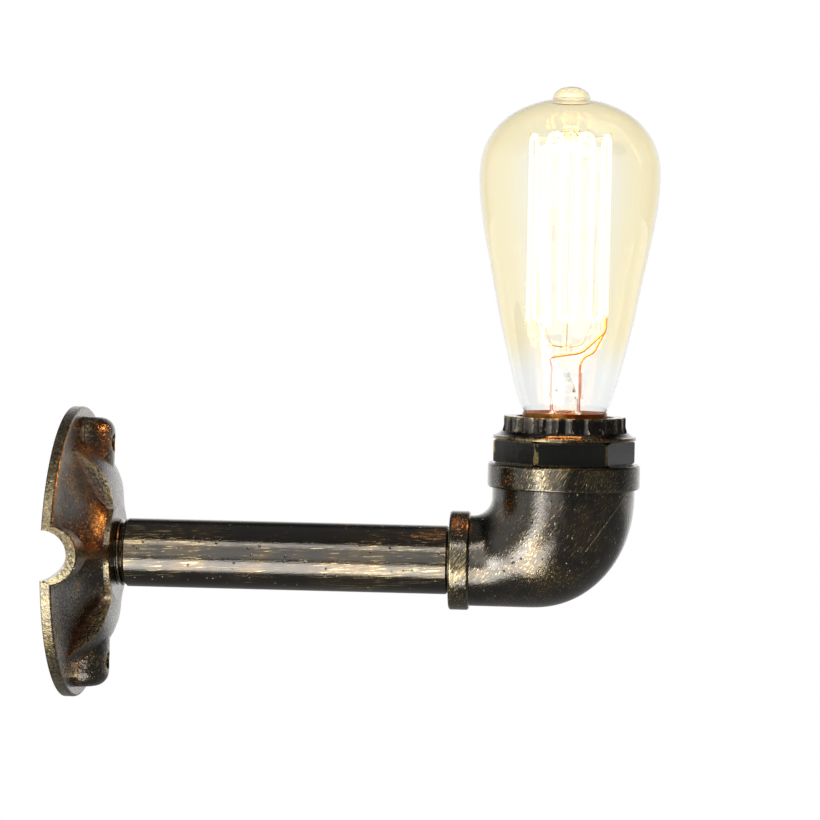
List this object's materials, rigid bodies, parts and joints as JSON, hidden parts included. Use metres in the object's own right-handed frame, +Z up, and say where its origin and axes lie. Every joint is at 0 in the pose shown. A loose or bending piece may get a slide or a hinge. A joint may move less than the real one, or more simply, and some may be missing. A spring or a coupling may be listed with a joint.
{
  "type": "pipe wall light",
  "caption": "Wall light of a cast round flange, a straight pipe arm and a reducing elbow that carries an upright tapered filament bulb in a hex and fluted lamp holder.",
  "frame": {"origin": "centre of the flange's back face, on the wall plane", "axes": "+X out of the wall along the pipe, +Z up along the bulb, +Y to the left of someone facing the wall"},
  "size_m": [0.1805, 0.0904, 0.1913],
  "materials": {
    "antique_iron": "blackened casting, dry-brushed with pale gold, worn bright on its edges",
    "antique_iron_ring": "blackened fluted ring, worn to gold on its lip",
    "antique_steel": "blackened pipe with lengthwise pale gold streaks",
    "black_gloss_metal": "glossy black",
    "fibre": "pressed red-brown fibre",
    "black_phenolic": "moulded, matte",
    "brass": "rolled and stamped",
    "bronze": "spring temper",
    "zinc_steel": "zinc plated",
    "tinned_copper": "tinned",
    "wire_brown": "extruded insulation",
    "wire_blue": "extruded insulation",
    "wire_green": "extruded insulation, green and yellow",
    "amber_glass": "blown, clear amber",
    "cap_brass": "rolled sheet",
    "black_glass": "fused black glass",
    "solder": "soft solder, smooth",
    "clear_glass": "drawn clear",
    "copper_wire": "copper sheathed",
    "support_wire": "drawn",
    "filament": "white-hot"
  },
  "bodies": {
    "fixture": {"wall_flange": "antique_iron", "pipe_arm": "antique_steel", "reducing_elbow": "antique_iron", "hex_sleeve": "black_gloss_metal", "holder_core": "black_phenolic", "screw_shell": "brass", "shell_rivets": "brass", "side_contact": "brass", "contact_foot": "bronze", "contact_rivet": "brass", "terminal_blocks": "brass", "terminal_screws": "zinc_steel", "live_wire": "wire_brown", "neutral_wire": "wire_blue", "wire_ferrules": "tinned_copper", "earth_lug": "tinned_copper", "earth_screw": "zinc_steel", "earth_wire": "wire_green"},
    "ring_lift": {"ring_washer": "fibre"},
    "ring": {"fluted_ring": "antique_iron_ring"},
    "spring_contact": {"centre_contact": "bronze"},
    "lamp_lift": {"cap_contact": "solder"},
    "lamp": {"bulb_glass": "amber_glass", "bulb_cap": "cap_brass", "cap_insulator": "black_glass", "bulb_stem": "clear_glass", "centre_post": "clear_glass", "lead_wires": "copper_wire", "upper_supports": "support_wire", "lower_supports": "support_wire", "filament": "filament"}
  },
  "joints": [
    {"name": "lamp_rise", "type": "slide", "parent": "fixture", "child": "lamp_lift", "axis": [0, 0, 1], "range_m": [0, 0.01452]},
    {"name": "lamp_turn", "type": "hinge", "parent": "lamp_lift", "child": "lamp", "pos_m": [0.1527, 0, 0.04], "axis": [0, 0, 1], "range_deg": [0, 1440]},
    {"name": "ring_rise", "type": "slide", "parent": "fixture", "child": "ring_lift", "axis": [0, 0, 1], "range_m": [0, 0.003]},
    {"name": "ring_turn", "type": "hinge", "parent": "ring_lift", "child": "ring", "pos_m": [0.1527, 0, 0.042], "axis": [0, 0, 1], "range_deg": [0, 1080]},
    {"name": "contact_press", "type": "hinge", "parent": "fixture", "child": "spring_contact", "pos_m": [0.1527, -0.0048, 0.01847], "axis": [1, 0, 0], "range_deg": [-5, 0], "stiffness_Nm_per_rad": 0.1}
  ],
  "couplings": [
    {"joint": "lamp_rise", "follows": "lamp_turn", "m_per_rad": 0.00057757},
    {"joint": "ring_rise", "follows": "ring_turn", "m_per_rad": 0.00015915}
  ]
}
